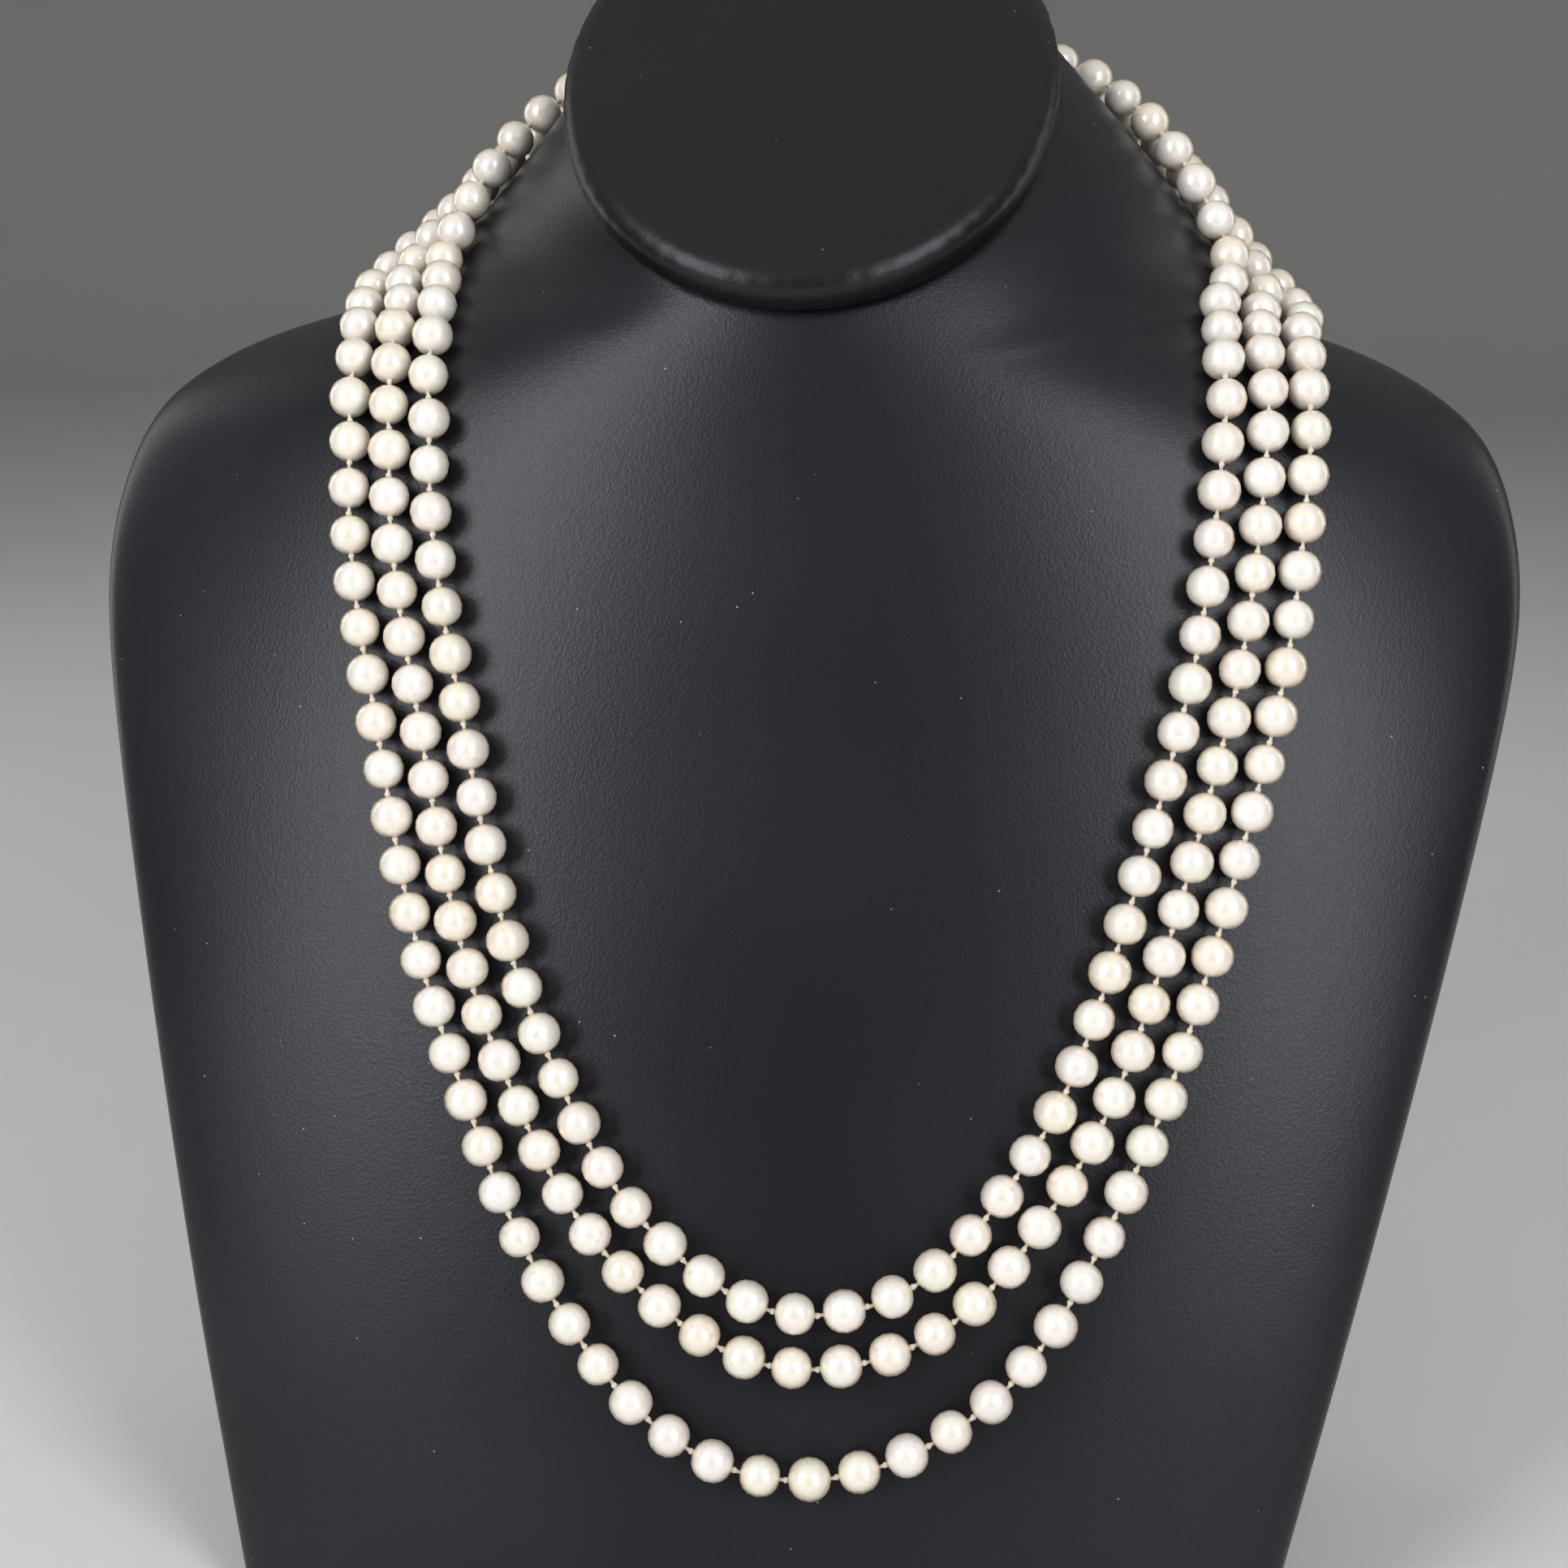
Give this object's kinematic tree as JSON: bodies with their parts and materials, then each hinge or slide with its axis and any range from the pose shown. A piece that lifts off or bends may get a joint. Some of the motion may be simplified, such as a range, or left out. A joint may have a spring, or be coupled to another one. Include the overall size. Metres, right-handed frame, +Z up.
{
  "type": "multi strand pearl necklace on a neck bust",
  "caption": "Multi strand necklace of round knotted pearls in close nested loops, hung round a leatherette neck bust with a padded neck top and a flat underside.",
  "frame": {"origin": "centre of the neck bust's flat underside", "axes": "+Z up, the chest and the front of the necklace face -Y, +X to the right as the chest is seen from the front"},
  "size_m": [0.252, 0.1491, 0.2944],
  "materials": {
    "bust_leatherette": "fine pebbled black leatherette with a soft satin sheen",
    "pad_leatherette": "smooth black leatherette stretched over padding",
    "pearl": "white to cream nacre with a silky lustre, stands for cultured pearl",
    "silk": "cream twisted silk thread",
    "clasp_metal": "satin gold-coloured metal"
  },
  "bodies": {
    "root": {"bust": "bust_leatherette", "neck_pad": "pad_leatherette", "clasp": "clasp_metal", "inner_strand": "pearl", "middle_strand": "pearl", "outer_strand": "pearl", "inner_thread": "silk", "middle_thread": "silk", "outer_thread": "silk"}
  },
  "joints": []
}
